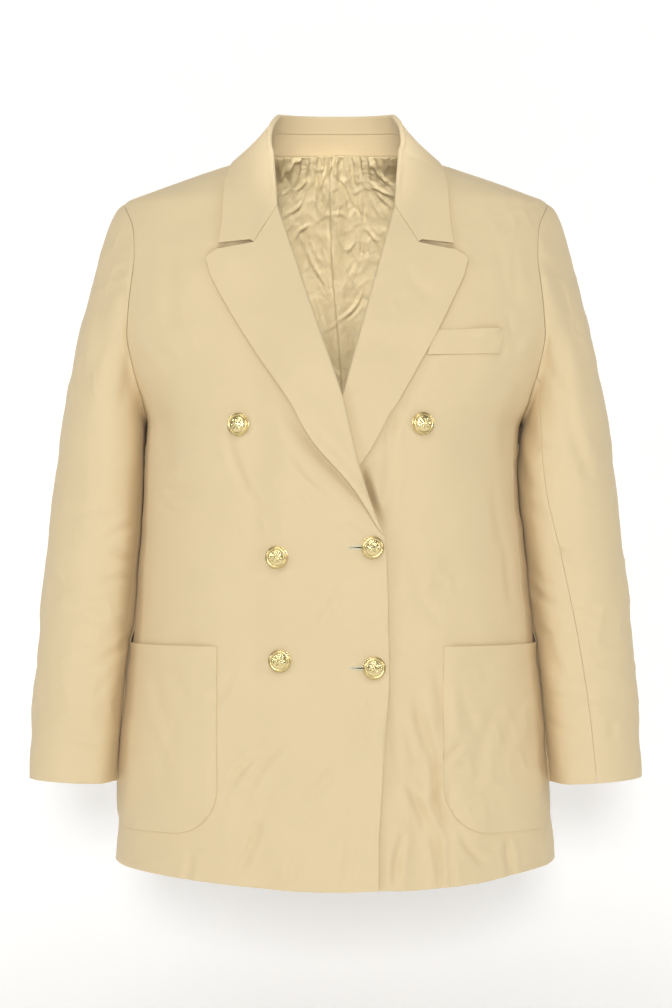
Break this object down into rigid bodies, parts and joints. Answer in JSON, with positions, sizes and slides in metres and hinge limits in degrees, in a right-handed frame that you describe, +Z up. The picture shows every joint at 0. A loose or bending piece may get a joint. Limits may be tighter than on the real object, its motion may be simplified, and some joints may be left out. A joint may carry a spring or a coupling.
{
  "type": "double breasted blazer",
  "caption": "Hollow double breasted jacket in its worn shape: peaked lapels, collar, breast welt, rounded patch pockets, two-piece sleeves and domed metal buttons.",
  "frame": {"origin": "midway between the two shoulders, level with the sides of the neck, where the wearer holds the coat up", "axes": "+Z up the coat towards the collar; the front faces -Y; the wearer's left side is at +X"},
  "size_m": [0.6216, 0.2713, 0.7904],
  "materials": {
    "coat_cloth": "matt tan twill",
    "lining_satin": "satin lining, a shade deeper than the cloth",
    "button_gold": "polished, with a raised rim and a plain domed centre"
  },
  "bodies": {
    "root": {"front_right": "coat_cloth", "front_left": "coat_cloth", "side_panel_right": "coat_cloth", "side_panel_left": "coat_cloth", "back_right": "coat_cloth", "back_left": "coat_cloth", "upper_sleeve_right": "coat_cloth", "upper_sleeve_left": "coat_cloth", "under_sleeve_right": "coat_cloth", "under_sleeve_left": "coat_cloth", "lapel_right": "coat_cloth", "lapel_left": "coat_cloth", "collar": "coat_cloth", "collar_stand": "coat_cloth", "patch_pocket_right": "coat_cloth", "patch_pocket_left": "coat_cloth", "breast_welt": "coat_cloth", "back_lining_right": "lining_satin", "back_lining_left": "lining_satin", "button_top_right": "button_gold", "button_top_left": "button_gold", "button_middle_right": "button_gold", "button_middle_left": "button_gold", "button_bottom_right": "button_gold", "button_bottom_left": "button_gold"}
  },
  "joints": []
}
